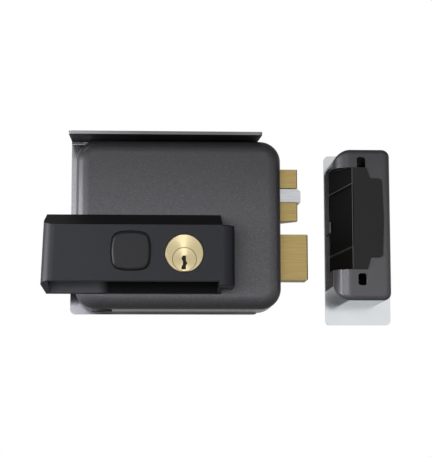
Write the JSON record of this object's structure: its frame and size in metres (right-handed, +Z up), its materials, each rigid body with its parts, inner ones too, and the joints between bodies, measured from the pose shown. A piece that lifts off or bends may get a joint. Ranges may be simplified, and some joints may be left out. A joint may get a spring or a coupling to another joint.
{
  "type": "electric gate lock",
  "caption": "Surface-mounted electric gate lock with rain hood, push button, key cylinder, sprung latch and key-thrown deadbolt, with its matching keeper.",
  "frame": {"origin": "centre of the mounting plate's rear face, in the plane of the gate", "axes": "+X to the keeper, along the bolts' throw; +Y into the gate; +Z up"},
  "size_m": [0.2209, 0.0672, 0.1204],
  "materials": {
    "zinc_sheet": "bright zinc plated sheet steel",
    "case_paint": "dark grey micaceous powder coat",
    "black_plastic": "satin black moulded",
    "steel": "machined",
    "bright_steel": "bright nickel plated",
    "spring_steel": "drawn wire",
    "cylinder_brass": "turned",
    "bolt_brass": "brushed lengthways",
    "copper": "enamelled winding",
    "nylon": "natural moulded",
    "rubber": "moulded"
  },
  "bodies": {
    "root": {"mounting_plate": "zinc_sheet", "lock_base": "zinc_sheet", "case_cover": "case_paint", "bolt_guide": "steel", "guard_cover": "black_plastic", "button_spring": "spring_steel", "cylinder_body": "cylinder_brass", "deadbolt_guide_pin": "steel", "latch_springs": "spring_steel", "cocking_spring": "spring_steel", "spring_bracket": "zinc_sheet", "magnet_yoke": "steel", "coil_bobbin": "nylon", "coil_winding": "copper", "armature_pin": "steel", "terminal_block": "nylon", "terminal_screws": "steel", "cable_gland": "rubber", "case_screws": "steel", "guard_screws": "steel", "cylinder_screws": "steel", "keeper_plate": "zinc_sheet", "keeper_box": "case_paint", "keeper_insert": "black_plastic", "keeper_screws": "steel"},
    "deadbolt": {"deadbolt": "bolt_brass"},
    "latch": {"latch_bolt": "bolt_brass", "latch_rods": "steel"},
    "cocking": {"cocking_bolt": "bright_steel", "cocking_collar": "steel"},
    "plug": {"cylinder_plug": "cylinder_brass", "plug_gear": "steel"},
    "button": {"push_button": "black_plastic", "button_pin": "steel"},
    "armature": {"armature_lever": "zinc_sheet"}
  },
  "joints": [
    {"name": "deadbolt_slide", "type": "slide", "parent": "root", "child": "deadbolt", "axis": [1, 0, 0], "range_m": [-0.01884, 0]},
    {"name": "plug_turn", "type": "hinge", "parent": "root", "child": "plug", "pos_m": [0.011, 0, -0.0284], "axis": [0, 1, 0], "range_deg": [-180, 0]},
    {"name": "latch_slide", "type": "slide", "parent": "root", "child": "latch", "axis": [1, 0, 0], "range_m": [-0.0122, 0], "stiffness_N_per_m": 300, "springref_m": 0.02, "deforming": ["latch_springs"]},
    {"name": "cocking_slide", "type": "slide", "parent": "root", "child": "cocking", "axis": [1, 0, 0], "range_m": [-0.0143, 0], "stiffness_N_per_m": 200, "springref_m": 0.02, "deforming": ["cocking_spring"]},
    {"name": "armature_swing", "type": "hinge", "parent": "root", "child": "armature", "pos_m": [-0.0395, -0.028, 0.0335], "axis": [1, 0, 0], "range_deg": [0, 4], "stiffness_Nm_per_rad": 1.2, "springref_deg": -2.29},
    {"name": "button_press", "type": "slide", "parent": "root", "child": "button", "axis": [0, 1, 0], "range_m": [0, 0.004], "deforming": ["button_spring"]}
  ],
  "couplings": [
    {"joint": "plug_turn", "follows": "deadbolt_slide", "rad_per_m": 166.67},
    {"joint": "button_press", "follows": "armature_swing", "m_per_rad": 0.0568}
  ]
}
